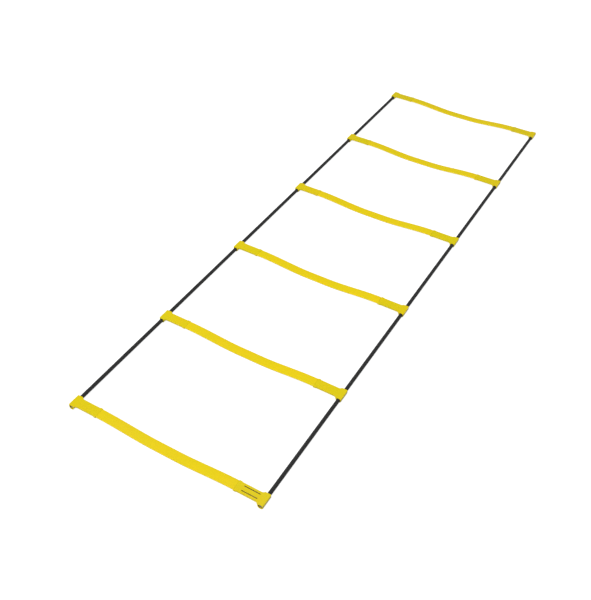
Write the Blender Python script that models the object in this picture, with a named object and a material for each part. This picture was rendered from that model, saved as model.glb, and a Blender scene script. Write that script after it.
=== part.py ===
"""Agility ladder: six bowed slats with moulded end pieces, on two taut side cords.

Metres, +Z up. The ladder lies along Y, its origin is on the floor below its middle, and the rungs
run across it along X. Each rung hangs on an empty at the height of the cords, on its slide axis.
"""

from math import acos, atan2, cos, pi, sin, sqrt

import bmesh
import bpy
from mathutils import Vector

# Driving sizes of the whole ladder
RUNG_COUNT = 6
RUNG_PITCH = 0.330
CORD_SPACING = 0.500

# Fits and cuts
RUNNING_CLEARANCE = 0.0004
SEAT_GAP = 0.0003
OVERRUN = 0.002
MERGE_LIMIT = 0.00001

# Side cord, with a point on its centre line every few diameters
CORD_DIAMETER = 0.009
CORD_STEP_IN_DIAMETERS = 3
CORD_BEVEL_RESOLUTION = 4

# Cord stop, a metal cup crimped on a cord end
STOP_WALL = 0.0004
STOP_LENGTH = 0.0100
STOP_DEPTH = 0.0030
STOP_END_WALL = 0.0012
STOP_EYE_DIAMETER = 0.0062
STOP_EDGE_ROUND = 0.0002

# Slat
SLAT_WIDTH = 0.0256
SLAT_THICKNESS = 0.0038
SLAT_EDGE_ROUND = 0.0013
SLAT_LAND_LENGTH = 0.050

# Tongue on each end of the slat, with a step all round, the deepest on top
TONGUE_LENGTH = 0.034
BAR_LIFT = 0.0003
TONGUE_SIDE_STEP = 0.0033
TONGUE_FACE_STEP = 0.0009
TONGUE_EDGE_ROUND = 0.0005
TONGUE_TIP_LENGTH = 0.0020
TONGUE_TIP_INSET = 0.0010

# Neck of an end piece, a flat sleeve round the tongue
NECK_REACH = 0.068
NECK_SIDE_WALL = 0.0027
NECK_FACE_WALL = 0.0010
NECK_FILLET = 0.0020
# The most that moulded edges are rounded: the Bevel modifier takes less, as its shortest edge allows
EDGE_ROUND = 0.0004

# Head of an end piece: the tunnel for the cord, under a flat crown
HEAD_WALL = 0.0015
CROWN_WALL = 0.0007
CROWN_ROUND = 0.0009
HEAD_EAR = 0.0040
HEAD_CORNER_ROUND = 0.0022
FLARE_RADIUS = 0.0080
TUNNEL_CHAMFER = 0.0006

# Collar beside the mouth of the pocket, level with the neck above and below
COLLAR_LENGTH = 0.0065
COLLAR_PROUD = 0.0012
COLLAR_SLOPE = 0.0015

# Strap slots in one end piece
STRAP_SLOT_LENGTH = 0.039
STRAP_SLOT_WIDTH = 0.0020
STRAP_SLOT_START = 0.0130
STRAP_SLOT_RIM = 0.0024

# How finely arcs and the slat's curve are cut, and the angles past which edges are sharp or rounded
TUNNEL_SIDES = 24
STOP_SIDES = 24
HEAD_ARC_STEPS = 12
CORNER_STEPS = 3
FLARE_STEPS = 4
SLAT_EDGE_STEPS = 2
SLAT_CURVE_STEPS = 10
SHARP_ANGLE = 0.6
EDGE_ROUND_ABOVE = 0.98

# Cord and stop, worked out from the sizes above
TUNNEL_RADIUS = CORD_DIAMETER / 2 + RUNNING_CLEARANCE
STOP_BORE_RADIUS = CORD_DIAMETER / 2 + SEAT_GAP
STOP_RADIUS = STOP_BORE_RADIUS + STOP_WALL
COUNTERBORE_RADIUS = STOP_RADIUS + SEAT_GAP
COUNTERBORE_DEPTH = STOP_DEPTH + STOP_LENGTH + SEAT_GAP

# Tongue and pocket, worked out from the slat
TONGUE_WIDTH = SLAT_WIDTH - 2 * TONGUE_SIDE_STEP
TONGUE_THICKNESS = SLAT_THICKNESS - 2 * TONGUE_FACE_STEP
POCKET_WIDTH = TONGUE_WIDTH + 2 * SEAT_GAP
POCKET_HEIGHT = TONGUE_THICKNESS + 2 * SEAT_GAP
POCKET_DEPTH = TONGUE_LENGTH + SEAT_GAP

# Head and neck, worked out from the cord, the stop and the pocket
HEAD_RADIUS = COUNTERBORE_RADIUS + HEAD_WALL
HEAD_CROWN = COUNTERBORE_RADIUS + CROWN_WALL
CORD_HEIGHT = HEAD_RADIUS
NECK_WIDTH = POCKET_WIDTH + 2 * NECK_SIDE_WALL
NECK_THICKNESS = POCKET_HEIGHT + 2 * NECK_FACE_WALL
NECK_BOTTOM = HEAD_CROWN - NECK_THICKNESS
NECK_MIDDLE = HEAD_CROWN - NECK_THICKNESS / 2
BAR_LEVEL = NECK_MIDDLE + BAR_LIFT
HEAD_LENGTH = NECK_WIDTH + 2 * HEAD_EAR

# Places along the ladder and along a slat
LADDER_SPAN = RUNG_PITCH * (RUNG_COUNT - 1)
MOUTH = LADDER_SPAN / 2 + HEAD_LENGTH / 2
CORD_END = MOUTH - STOP_DEPTH - STOP_END_WALL - SEAT_GAP
SLAT_END = CORD_SPACING / 2 - NECK_REACH - SEAT_GAP
SLAT_DROP = CORD_HEIGHT + BAR_LEVEL - SLAT_THICKNESS / 2

# Finishes: name, colour, roughness and metallic value
YELLOW_SLAT = ("rung_yellow", (0.80, 0.62, 0.01), 0.42, 0.0)
YELLOW_MOULDING = ("end_piece_yellow", (0.72, 0.58, 0.01), 0.38, 0.0)
CHARCOAL_CORD = ("braided_cord_charcoal", (0.030, 0.030, 0.029), 0.85, 0.0)
ZINC_STEEL = ("cord_stop_steel", (0.52, 0.52, 0.50), 0.4, 1.0)


def clear_scene():
    for old in list(bpy.data.objects):
        bpy.data.objects.remove(old, do_unlink=True)


def finish(sheet):
    """A plain material from one line of the finishes above."""
    name, colour, roughness, metallic = sheet
    material = bpy.data.materials.get(name) or bpy.data.materials.new(name)
    material.use_nodes = True
    shader = material.node_tree.nodes["Principled BSDF"]
    shader.inputs["Base Color"].default_value = (*colour, 1.0)
    shader.inputs["Roughness"].default_value = roughness
    shader.inputs["Metallic"].default_value = metallic
    return material


def add_object(name, data, parent=None, at=(0, 0, 0), turn=0):
    made = bpy.data.objects.new(name, data)
    bpy.context.scene.collection.objects.link(made)
    made.parent = parent
    made.location = at
    made.rotation_euler = (0, 0, turn)
    return made


def mesh_from(builder, name):
    """Turns a bmesh into a mesh with its faces pointing out."""
    bmesh.ops.recalc_face_normals(builder, faces=builder.faces)
    mesh = bpy.data.meshes.new(name)
    builder.to_mesh(mesh)
    builder.free()
    return mesh


def arc(centre, radius, start, end, steps):
    """Points on an arc in a plane, both ends included."""
    angles = [start + (end - start) * step / steps for step in range(steps + 1)]
    return [(centre[0] + radius * cos(a), centre[1] + radius * sin(a)) for a in angles]


def prism(outline, along, low, high, name):
    """A closed outline pushed from low to high along Y or Z."""
    builder = bmesh.new()
    if along == "Y":
        corners = [builder.verts.new((u, low, v)) for u, v in outline]
        push = Vector((0, high - low, 0))
    else:
        corners = [builder.verts.new((u, v, low)) for u, v in outline]
        push = Vector((0, 0, high - low))
    base = builder.faces.new(corners)
    pushed = bmesh.ops.extrude_face_region(builder, geom=[base])["geom"]
    moved = [item for item in pushed if isinstance(item, bmesh.types.BMVert)]
    bmesh.ops.translate(builder, verts=moved, vec=push)
    return mesh_from(builder, name)


def ring(radius, sides):
    """Points on a full circle round zero."""
    return arc((0, 0), radius, 0, 2 * pi, sides)[:-1]


def bridge(builder, rings):
    """Skins a row of rings with the same count of points, and closes both ends."""
    for first, second in zip(rings, rings[1:]):
        for index in range(len(first)):
            after = (index + 1) % len(first)
            builder.faces.new((first[index], first[after], second[after], second[index]))
    builder.faces.new(list(reversed(rings[0])))
    builder.faces.new(rings[-1])


def box_mesh(low, high, name):
    outline = [(low[0], low[1]), (high[0], low[1]), (high[0], high[1]), (low[0], high[1])]
    return prism(outline, "Z", low[2], high[2], name)


def cut_with(target, mesh, operation="DIFFERENCE"):
    """Adds a Boolean with its own hidden cutter."""
    cutter = add_object(mesh.name, mesh)
    cutter.hide_render = True
    cutter.display_type = "WIRE"
    boolean = target.modifiers.new(mesh.name, "BOOLEAN")
    boolean.operation = operation
    boolean.solver = "EXACT"
    boolean.object = cutter
    return cutter


def baked(target, cutters, name):
    """The mesh of a worked piece with its modifiers applied. The working objects are removed."""
    graph = bpy.context.evaluated_depsgraph_get()
    mesh = bpy.data.meshes.new_from_object(target.evaluated_get(graph))
    mesh.name = name
    for used in [*cutters, target]:
        bpy.data.objects.remove(used, do_unlink=True)
    return mesh


def smoothed(mesh, material):
    mesh.materials.clear()
    mesh.materials.append(material)
    for face in mesh.polygons:
        face.use_smooth = True
    mesh.set_sharp_from_angle(angle=SHARP_ANGLE)
    return mesh


def end_piece_side_outline():
    """The end piece seen along the cord: a round-bottomed head and the flat neck."""
    crown_corner = (CROWN_ROUND - HEAD_RADIUS, HEAD_CROWN - CROWN_ROUND)
    fillet_middle = fillet_centre()
    fillet_turn = atan2(fillet_middle[1], fillet_middle[0])
    outline = arc(crown_corner, CROWN_ROUND, pi, pi / 2, CORNER_STEPS)
    outline += [(NECK_REACH, HEAD_CROWN), (NECK_REACH, NECK_BOTTOM)]
    outline += arc(fillet_middle, NECK_FILLET, pi / 2, pi + fillet_turn, CORNER_STEPS)
    outline += arc((0, 0), HEAD_RADIUS, fillet_turn, -pi, HEAD_ARC_STEPS)[1:]
    return outline


def fillet_centre():
    """The middle of the round that touches both the neck's underside and the head."""
    height = NECK_BOTTOM - NECK_FILLET
    return sqrt((HEAD_RADIUS + NECK_FILLET) ** 2 - height**2), height


def end_piece_plan_outline():
    """The end piece seen from above: the head with its ears, the flares, the neck and the collar."""
    collar_start = NECK_REACH - COLLAR_LENGTH
    collar_half = NECK_WIDTH / 2 + COLLAR_PROUD
    corner = (HEAD_CORNER_ROUND - HEAD_RADIUS, HEAD_LENGTH / 2 - HEAD_CORNER_ROUND)
    flare_turn = acos(1 - HEAD_EAR / FLARE_RADIUS)
    flare = (HEAD_RADIUS + FLARE_RADIUS * sin(flare_turn), NECK_WIDTH / 2 + FLARE_RADIUS)
    upper = arc(corner, HEAD_CORNER_ROUND, pi, pi / 2, CORNER_STEPS)
    upper += arc(flare, FLARE_RADIUS, -pi / 2 - flare_turn, -pi / 2, FLARE_STEPS)
    upper += [
        (collar_start - COLLAR_SLOPE, NECK_WIDTH / 2),
        (collar_start, collar_half),
        (NECK_REACH, collar_half),
    ]
    lower = [(x, -y) for x, y in reversed(upper)]
    return upper + lower


def end_piece_mesh(name, stop_side=0, strap_slots=False):
    """A moulded end piece. Its origin is on the cord's axis, and its neck runs along +X."""
    reach = NECK_REACH + OVERRUN
    body = add_object(name, prism(end_piece_plan_outline(), "Z", -reach, reach, name))
    side_view = prism(end_piece_side_outline(), "Y", -reach, reach, "side_view")
    cutters = [cut_with(body, side_view, "INTERSECT")]
    edges = body.modifiers.new("edge_round", "BEVEL")
    edges.width = EDGE_ROUND
    edges.segments = 1
    edges.limit_method = "ANGLE"
    edges.angle_limit = EDGE_ROUND_ABOVE
    cuts = [tunnel_mesh(stop_side), pocket_mesh()]
    if strap_slots:
        cuts += strap_slot_meshes()
    cutters += [cut_with(body, cut) for cut in cuts]
    return smoothed(baked(body, cutters, name), finish(YELLOW_MOULDING))


def tunnel_mesh(stop_side):
    """The cord's tunnel in one cutter: chamfered mouths, or a wider bore where a stop sits."""
    half = HEAD_LENGTH / 2
    wide = TUNNEL_RADIUS + TUNNEL_CHAMFER + OVERRUN
    step = half - COUNTERBORE_DEPTH
    flared = [(half + OVERRUN, wide), (half - TUNNEL_CHAMFER, TUNNEL_RADIUS)]
    bored = [(half + OVERRUN, COUNTERBORE_RADIUS), (step, COUNTERBORE_RADIUS), (step, TUNNEL_RADIUS)]
    near = [(-y, radius) for y, radius in (bored if stop_side < 0 else flared)]
    far = list(reversed(bored if stop_side > 0 else flared))
    builder = bmesh.new()
    rings = []
    for y, radius in near + far:
        rings.append([builder.verts.new((u, y, v)) for u, v in ring(radius, TUNNEL_SIDES)])
    bridge(builder, rings)
    return mesh_from(builder, "tunnel")


def pocket_mesh():
    """The pocket for the slat's tongue, open at the collar."""
    low = (NECK_REACH - POCKET_DEPTH, -POCKET_WIDTH / 2, NECK_MIDDLE - POCKET_HEIGHT / 2)
    high = (NECK_REACH + OVERRUN, POCKET_WIDTH / 2, NECK_MIDDLE + POCKET_HEIGHT / 2)
    return box_mesh(low, high, "pocket")


def strap_slot_meshes():
    """Two long slots through the neck, side by side, with round ends."""
    radius = STRAP_SLOT_WIDTH / 2
    near = STRAP_SLOT_START + radius
    far = STRAP_SLOT_START + STRAP_SLOT_LENGTH - radius
    slots = []
    for side in (-1, 1):
        across = side * (TONGUE_WIDTH / 2 - STRAP_SLOT_RIM - radius)
        outline = arc((near, across), radius, pi / 2, 3 * pi / 2, CORNER_STEPS)
        outline += arc((far, across), radius, -pi / 2, pi / 2, CORNER_STEPS)
        slots.append(prism(outline, "Z", NECK_BOTTOM - OVERRUN, HEAD_CROWN + OVERRUN, "strap_slot"))
    return slots


def bar_level_at(x):
    """Height of the bar's middle plane: level at the end pieces and the middle, lowest there."""
    share_down = (SLAT_END - abs(x)) / (SLAT_END - SLAT_LAND_LENGTH / 2)
    return BAR_LEVEL - SLAT_DROP * (1 - cos(pi * min(max(share_down, 0), 1))) / 2


def slat_section(width, thickness, edge):
    """Points round a flat bar's section, with its long edges rounded."""
    points = []
    for side_y, side_z, start in ((1, 1, 0), (-1, 1, pi / 2), (-1, -1, pi), (1, -1, 3 * pi / 2)):
        centre = (side_y * (width / 2 - edge), side_z * (thickness / 2 - edge))
        points += arc(centre, edge, start, start + pi / 2, SLAT_EDGE_STEPS)
    return points


def slat_stations():
    """The slat's rings from end to end: place, height, width, thickness and edge round."""
    land = SLAT_LAND_LENGTH / 2
    tongue_end = SLAT_END + TONGUE_LENGTH
    tongue = (NECK_MIDDLE, TONGUE_WIDTH, TONGUE_THICKNESS, TONGUE_EDGE_ROUND)
    tip = (NECK_MIDDLE, TONGUE_WIDTH - 2 * TONGUE_TIP_INSET, TONGUE_THICKNESS, TONGUE_EDGE_ROUND)
    bar = (SLAT_WIDTH, SLAT_THICKNESS, SLAT_EDGE_ROUND)
    half = [(tongue_end, *tip), (tongue_end - TONGUE_TIP_LENGTH, *tongue), (SLAT_END, *tongue)]
    for step in range(SLAT_CURVE_STEPS + 1):
        x = SLAT_END + (land - SLAT_END) * step / SLAT_CURVE_STEPS
        half.append((x, bar_level_at(x), *bar))
    left = [(-x, *sizes) for x, *sizes in half]
    return left + list(reversed(half))


def slat_mesh(name, slotted_end=0):
    """A bowed slat with a tongue at each end. Its origin is the rung's, at the cords' height."""
    builder = bmesh.new()
    rings = []
    for x, height, width, thickness, edge in slat_stations():
        section = slat_section(width, thickness, edge)
        rings.append([builder.verts.new((x, y, height + z)) for y, z in section])
    bridge(builder, rings)
    mesh = mesh_from(builder, name)
    if slotted_end:
        body = add_object(name, mesh)
        cutters = []
        for slot in strap_slot_meshes():
            cutter = cut_with(body, slot)
            cutter.location = (slotted_end * CORD_SPACING / 2, 0, 0)
            cutter.rotation_euler = (0, 0, pi if slotted_end > 0 else 0)
            cutters.append(cutter)
        mesh = baked(body, cutters, name)
    return smoothed(mesh, finish(YELLOW_SLAT))


def stop_mesh(name):
    """A cord stop: a cup over the cord's end, with an eye in its end wall. The eye faces +Y."""
    eye_radius = STOP_EYE_DIAMETER / 2
    profile = [
        (STOP_BORE_RADIUS, -STOP_LENGTH),
        (STOP_RADIUS - STOP_EDGE_ROUND, -STOP_LENGTH),
        (STOP_RADIUS, STOP_EDGE_ROUND - STOP_LENGTH),
        (STOP_RADIUS, -STOP_EDGE_ROUND),
        (STOP_RADIUS - STOP_EDGE_ROUND, 0),
        (eye_radius, 0),
        (eye_radius, -STOP_END_WALL),
        (STOP_BORE_RADIUS, -STOP_END_WALL),
    ]
    builder = bmesh.new()
    corners = [builder.verts.new((r, y, 0)) for r, y in profile]
    edges = [builder.edges.new((corners[i - 1], corners[i])) for i in range(len(corners))]
    bmesh.ops.spin(
        builder,
        geom=[*corners, *edges],
        axis=(0, 1, 0),
        cent=(0, 0, 0),
        angle=2 * pi,
        steps=STOP_SIDES,
        use_merge=True,
    )
    bmesh.ops.remove_doubles(builder, verts=builder.verts, dist=MERGE_LIMIT)
    return smoothed(mesh_from(builder, name), finish(ZINC_STEEL))


def cord_curve(name, x):
    """A taut cord as a curve with a round bevel, from stop to stop."""
    curve = bpy.data.curves.new(name, "CURVE")
    curve.dimensions = "3D"
    curve.bevel_depth = CORD_DIAMETER / 2
    curve.bevel_resolution = CORD_BEVEL_RESOLUTION
    curve.use_fill_caps = True
    spline = curve.splines.new("POLY")
    count = round(2 * CORD_END / (CORD_STEP_IN_DIAMETERS * CORD_DIAMETER))
    spline.points.add(count)
    for index, point in enumerate(spline.points):
        y = -CORD_END + 2 * CORD_END * index / count
        point.co = (x, y, CORD_HEIGHT, 1)
    spline.use_smooth = True
    curve.materials.append(finish(CHARCOAL_CORD))
    return curve


def side_name(side):
    return "left" if side < 0 else "right"


def build_cords():
    for side in (-1, 1):
        name = f"{side_name(side)}_cord"
        add_object(name, cord_curve(name, side * CORD_SPACING / 2))


def build_stops():
    """A stop on each cord end, pulled against the step in the end rung's head."""
    mesh = stop_mesh("cord_stop")
    for side in (-1, 1):
        for end, word in ((-1, "near"), (1, "far")):
            at = (side * CORD_SPACING / 2, end * (MOUTH - STOP_DEPTH), CORD_HEIGHT)
            name = f"{side_name(side)}_cord_stop_{word}"
            add_object(name, mesh, at=at, turn=0 if end > 0 else pi)


def build_rungs():
    """Six rungs, each a slat and two end pieces on an empty at its slide axis."""
    plain_end = end_piece_mesh("end_piece")
    stop_ends = {side: end_piece_mesh("end_piece_with_stop", side) for side in (-1, 1)}
    slotted_end = end_piece_mesh("end_piece_with_slots", 1, strap_slots=True)
    plain_slat = slat_mesh("slat")
    slotted_slat = slat_mesh("slat_with_slots", slotted_end=1)
    for number in range(1, RUNG_COUNT + 1):
        y = (number - 1) * RUNG_PITCH - LADDER_SPAN / 2
        rung = add_object(f"rung_{number}", None, at=(0, y, CORD_HEIGHT))
        first, last = number == 1, number == RUNG_COUNT
        add_object(f"rung_{number}_slat", slotted_slat if first else plain_slat, rung)
        outward = -1 if first else 1
        for side in (-1, 1):
            mesh = plain_end
            if first or last:
                mesh = stop_ends[-side * outward]
            if first and side > 0:
                mesh = slotted_end
            name = f"rung_{number}_{side_name(side)}_end_piece"
            at = (side * CORD_SPACING / 2, 0, 0)
            add_object(name, mesh, rung, at=at, turn=pi if side > 0 else 0)


def main():
    clear_scene()
    build_rungs()
    build_cords()
    build_stops()


main()
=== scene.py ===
"""Agility ladder: the looks of its slats, moulded end pieces, braided cords and cord stops.

Metres, +Z up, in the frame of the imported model. An end piece is modelled with its cord's axis on
the Y axis and its neck along +X, a cord stop with its axis on Y and its eye towards +Y, and a slat
with its rung's middle at zero and the cords' height at z = 0. Copies then go to their places.
"""

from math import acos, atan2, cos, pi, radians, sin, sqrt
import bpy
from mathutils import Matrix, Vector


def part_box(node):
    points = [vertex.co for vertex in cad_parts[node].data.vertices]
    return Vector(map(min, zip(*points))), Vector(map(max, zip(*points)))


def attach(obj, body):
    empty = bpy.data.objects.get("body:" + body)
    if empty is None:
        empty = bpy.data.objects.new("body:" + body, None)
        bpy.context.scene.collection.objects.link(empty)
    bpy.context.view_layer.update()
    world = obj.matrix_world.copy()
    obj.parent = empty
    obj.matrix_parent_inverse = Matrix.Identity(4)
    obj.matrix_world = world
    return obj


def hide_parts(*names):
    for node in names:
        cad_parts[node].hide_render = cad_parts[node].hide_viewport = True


bl_info = {
    "name": "Agility Ladder",
    "version": (1, 0, 0),
    "blender": (4, 5, 0),
    "location": "3D View > Sidebar > Ladder",
    "description": "Yellow rungs with moulded end pieces on two braided cords",
    "category": "Object",
}

import bmesh
import bpy
from bpy.props import FloatProperty, FloatVectorProperty, IntProperty, PointerProperty
from mathutils import Matrix, Vector
import numpy as np

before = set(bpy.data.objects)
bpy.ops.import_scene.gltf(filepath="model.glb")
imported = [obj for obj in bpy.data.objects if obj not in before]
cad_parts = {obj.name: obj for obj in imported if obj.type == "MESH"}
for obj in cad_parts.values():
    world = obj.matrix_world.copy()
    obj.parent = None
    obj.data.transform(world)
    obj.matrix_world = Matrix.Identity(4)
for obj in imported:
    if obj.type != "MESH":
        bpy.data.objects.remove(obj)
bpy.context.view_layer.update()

# The frame's own sizes, measured on its nodes
SIDES = {"left": -1, "right": 1}
RUNG_COUNT = sum(name.endswith("_slat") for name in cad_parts)
CORD_BOXES = {side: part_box(f"{side}_cord") for side in SIDES}
CORD_X = {side: (low.x + high.x) / 2 for side, (low, high) in CORD_BOXES.items()}
CORD_HEIGHT = sum(corner.z for corner in CORD_BOXES["left"]) / 2
CORD_END = CORD_BOXES["left"][1].y
END_LOW, END_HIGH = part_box("rung_2_left_end_piece")
HEAD_RADIUS = CORD_X["left"] - END_LOW.x
HEAD_LENGTH = END_HIGH.y - END_LOW.y
NECK_REACH = END_HIGH.x - CORD_X["left"]
SLAT_LOW, SLAT_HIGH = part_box("rung_2_slat")
SLAT_WIDTH = SLAT_HIGH.y - SLAT_LOW.y
TONGUE_END = SLAT_HIGH.x
STOP_LOW, STOP_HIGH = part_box("left_cord_stop_far")
STOP_LENGTH = STOP_HIGH.y - STOP_LOW.y
STOP_RADIUS = (STOP_HIGH.z - STOP_LOW.z) / 2
STOP_FACE = STOP_HIGH.y
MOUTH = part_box(f"rung_{RUNG_COUNT}_left_end_piece")[1].y

# Fits and cuts
SEAT_GAP = 0.0003  # round a piece in its seat
PARTING_LINE = 0.00005  # between a bar's end and the collar that it is pressed up to
OVERRUN = 0.002  # of a cutting tool past what it cuts
MERGE_LIMIT = 0.000002  # between points that are one
SMOOTH_ANGLE = radians(32)  # an edge that turns by more is shaded sharp
ROUND_ABOVE = radians(30)  # an edge that turns by more is rounded

# How finely curved shapes are cut
SLAT_STEPS = 96
SLAT_CROWN_CUTS = 7
EDGE_SEGMENTS = 5
HEAD_ARC_STEPS = 22
ROUND_EDGE_STEPS = 3
CROWN_STEPS = 5
CORNER_STEPS = 3
FILLET_STEPS = 4
FLARE_STEPS = 5
SMALL_ARC_STEPS = 8
ROUND_SIDES = 96
ROUND_LIP_STEPS = 5
CORD_STEPS_PER_STRAND = 4

# The braid. Its melted ends draw in to a share of the cord's radius, over a share of its diameter.
WEAVE_REPEAT = 4  # strands that a strand passes, two over and two under, before it repeats
FILAMENT_BUNDLES = 9  # across a strand
MELTED_RADIUS_SHARE = 0.72
MELTED_LENGTH_SHARE = 0.25

# Roughness of each material, where it is glossiest and where it is dullest
SLAT_ROUGHNESS = (0.36, 0.50)
END_PIECE_ROUGHNESS = (0.32, 0.46)
YARN_ROUGHNESS = (0.62, 0.85)
ZINC_ROUGHNESS = (0.32, 0.58)

# Wear, and painted shade in narrow recesses, on the plastic
WEAR_REACH = 0.0007  # of the wear in from an edge
WORN_ROUGHNESS = 0.12  # what the wear adds
RECESS_REACH = 0.004  # painted shade darkens surfaces that lie nearer than this to others

# Heights of the finest relief
GRAIN_HEIGHT = 0.000022
MOULD_WAVE_HEIGHT = 0.00006
FILAMENT_HEIGHT = 0.00003
FUZZ_HEIGHT = 0.00008
TURNED_LINE_HEIGHT = 0.00001

# Noise patterns: waves in a metre, detail, and stretch along X, Y and Z, where less makes longer marks
EVEN = (1, 1, 1)
PATTERNS = {
    "pigment_drift": (22, 3, EVEN),
    "flow_marks": (60, 2, (0.25, 2.2, 2.2)),
    "rub_streaks": (1300, 2, (0.03, 1, 1)),
    "rub_patches": (48, 3, EVEN),
    "edge_scuffs": (420, 4, EVEN),
    "sheen_patches": (35, 4, EVEN),
    "grain": (2600, 2, EVEN),
    "mould_waves": (130, 2, (0.5, 1, 1)),
    "yarn_fuzz": (1400, 3, EVEN),
    "zinc_clouds": (1500, 3, EVEN),
    "turned_lines": (3000, 2, (0.15, 1, 0.15)),
    "floor_mottle": (3, 2, EVEN),
}
NOISE_RANGE = (0.3, 0.7)  # holds nearly all of a pattern

# Marks: the value at which they start, the value at which they are full, and their strength there
MARKS = {
    "pigment_drift": (0.32, 0.68, 1),
    "flow_marks": (0.35, 0.70, 0.4),
    "rub_streaks": (0.62, 0.72, 1),
    "rub_patches": (0.46, 0.62, 0.5),
    "edge_scuffs": (0.42, 0.72, 1),
    "worn_edge": (0.995, 0.93, 0.55),
    # painted shade in narrow recesses, from ambient occlusion
    "painted_recess_shade": (0.66, 0.40, 1),
    "pale_strand": (0, 1, 0.35),
    "lint": (0.56, 0.78, 0.5),
    "zinc_clouds": (*NOISE_RANGE, 1),
    "floor_mottle": (*NOISE_RANGE, 1),
}

# Tints, as shares of the red, green and blue of a finish
TINT_SHARES = {
    "lemon_pigment": (0.96, 1.01, 0.9),
    "gold_pigment": (1.04, 0.99, 1.1),
    "flow": (0.93, 0.96, 0.8),
    "rubbed": (1.12, 1.14, 12.0),
    "worn": (1.1, 1.12, 4.0),
    # painted shade in narrow recesses
    "painted_shade": (0.14, 0.09, 0.1),
    # painted shade in the grooves between strands, and painted highlight on their crests
    "painted_groove_shade": (0.32, 0.32, 0.33),
    "painted_crest_highlight": (1.18, 1.18, 1.16),
    "pale_strand": (1.7, 1.68, 1.66),
    "lint": (3.2, 3.15, 3.1),
    "dull_zinc": (0.86, 0.86, 0.84),
    "bright_zinc": (1.14, 1.14, 1.16),
    "mottled_floor": (0.995, 0.995, 0.995),
    "plain_floor": (1, 1, 1),
}

# Sockets of the Mix node: its share, the two that it mixes, and their mix
MIX_SOCKETS = {"FLOAT": (0, 2, 3, 0), "RGBA": (0, 6, 7, 2)}

# The stage
FLOOR_SIZE = 40.0
IMAGE_LONG_SIDE_MM = 36.0
WHITE = (1, 1, 1, 1)


def length_setting(name, description, default):
    return FloatProperty(name=name, description=description, default=default, unit="LENGTH")


def angle_setting(name, description, default):
    return FloatProperty(name=name, description=description, default=default, subtype="ANGLE")


def place_setting(name, description, default):
    return FloatVectorProperty(name=name, description=description, default=default, unit="LENGTH")


def colour_setting(name, description, default):
    return FloatVectorProperty(name=name, description=description, default=default, subtype="COLOR")


class LadderSlat(bpy.types.PropertyGroup):
    """Sizes of a slat that its node's box doesn't give."""

    thickness: length_setting("Thickness", "Of the bar at its middle line", 0.0038)
    edge_round: length_setting("Edge Round", "Radius of the long edges", 0.0013)
    crown: length_setting("Crown", "How much the faces fall from the middle line to the edges", 0.00016)
    land: length_setting("Land", "Length of the level middle stretch", 0.050)
    tongue_side_step: length_setting("Tongue Side Step", "From a long edge in to the tongue", 0.0033)
    tongue_face_step: length_setting("Tongue Face Step", "From a face in to the tongue", 0.0009)
    bar_lift: length_setting("Bar Lift", "How much higher the bar stands than its tongue", 0.0003)
    tongue_tip: length_setting("Tongue Tip", "Length of the narrowed tip", 0.0020)
    tongue_tip_inset: length_setting("Tongue Tip Inset", "How much the tip draws in a side", 0.0010)


class LadderEndPiece(bpy.types.PropertyGroup):
    """Sizes of an end piece that its node's box doesn't give."""

    running_clearance: length_setting("Running Clearance", "Between the cord and its tunnel", 0.0004)
    crown_wall: length_setting("Crown Wall", "Thinnest place over a stop's bore", 0.0007)
    crown_round: length_setting("Crown Round", "Outer edge of the flat crown", 0.0009)
    ear: length_setting("Ear", "How far the head stands past the neck", 0.0040)
    corner_round: length_setting("Corner Round", "Outer corners of the head", 0.0022)
    flare_radius: length_setting("Flare Radius", "Hollow curve from ear to neck", 0.0080)
    neck_side_wall: length_setting("Neck Side Wall", "Beside the tongue", 0.0027)
    neck_face_wall: length_setting("Neck Face Wall", "Over and under the tongue", 0.0010)
    neck_fillet: length_setting("Neck Fillet", "Hollow round under the neck", 0.0020)
    edge_round: length_setting("Edge Round", "Radius of the moulded edges", 0.0004)
    collar_length: length_setting("Collar Length", "Band beside the pocket's mouth", 0.0065)
    collar_proud: length_setting("Collar Proud", "How far the band stands out a side", 0.0012)
    collar_slope: length_setting("Collar Slope", "Length of the ramp up to the band", 0.0015)
    mouth_lip: length_setting("Mouth Lip", "Rounded lip of the tunnel's mouths", 0.0006)
    slot_length: length_setting("Slot Length", "Of a strap slot", 0.039)
    slot_width: length_setting("Slot Width", "Of a strap slot", 0.0020)
    slot_start: length_setting("Slot Start", "From the cord's axis to the slots", 0.0130)
    slot_rim: length_setting("Slot Rim", "From a slot to the tongue's edge", 0.0024)
    slot_lip: length_setting("Slot Lip", "Bevelled lip of a strap slot", 0.00025)


class LadderCord(bpy.types.PropertyGroup):
    """Sizes and make of a side cord."""

    diameter: length_setting("Diameter", "Across the braid", 0.009)
    strands: IntProperty(name="Strands", description="That wind each way round", default=8, min=4)
    lead: length_setting("Lead", "Length of cord for one turn of a strand", 0.040)
    strand_swell: length_setting("Strand Swell", "From a strand's edge up to its crest", 0.00034)
    weave_rise: length_setting("Weave Rise", "Half the rise of a strand from under to over", 0.00014)


class LadderStop(bpy.types.PropertyGroup):
    """Sizes of a cord stop that its node's box doesn't give."""

    wall: length_setting("Wall", "Of the cup's side", 0.0004)
    end_wall: length_setting("End Wall", "Of the cup's bottom", 0.0012)
    eye: length_setting("Eye", "Across the hole in the end wall", 0.0062)
    edge_round: length_setting("Edge Round", "Of the rims", 0.0002)
    crimp_depth: length_setting("Crimp Depth", "Of the rolled crimp grooves", 0.00022)
    crimps: IntProperty(name="Crimps", description="Rolled grooves", default=3, min=1)


class LadderFinish(bpy.types.PropertyGroup):
    """Colours of the pieces."""

    slat_colour: colour_setting("Slat", "Moulded slat", (0.708, 0.540, 0.001))
    end_piece_colour: colour_setting("End Piece", "Moulded end piece", (0.648, 0.516, 0.001))
    cord_colour: colour_setting("Cord", "Braided yarn", (0.0135, 0.0135, 0.0135))
    stop_colour: colour_setting("Stop", "Zinc-plated steel", (0.52, 0.52, 0.50))
    floor_colour: colour_setting("Floor", "Studio floor", (0.30, 0.30, 0.30))


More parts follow.
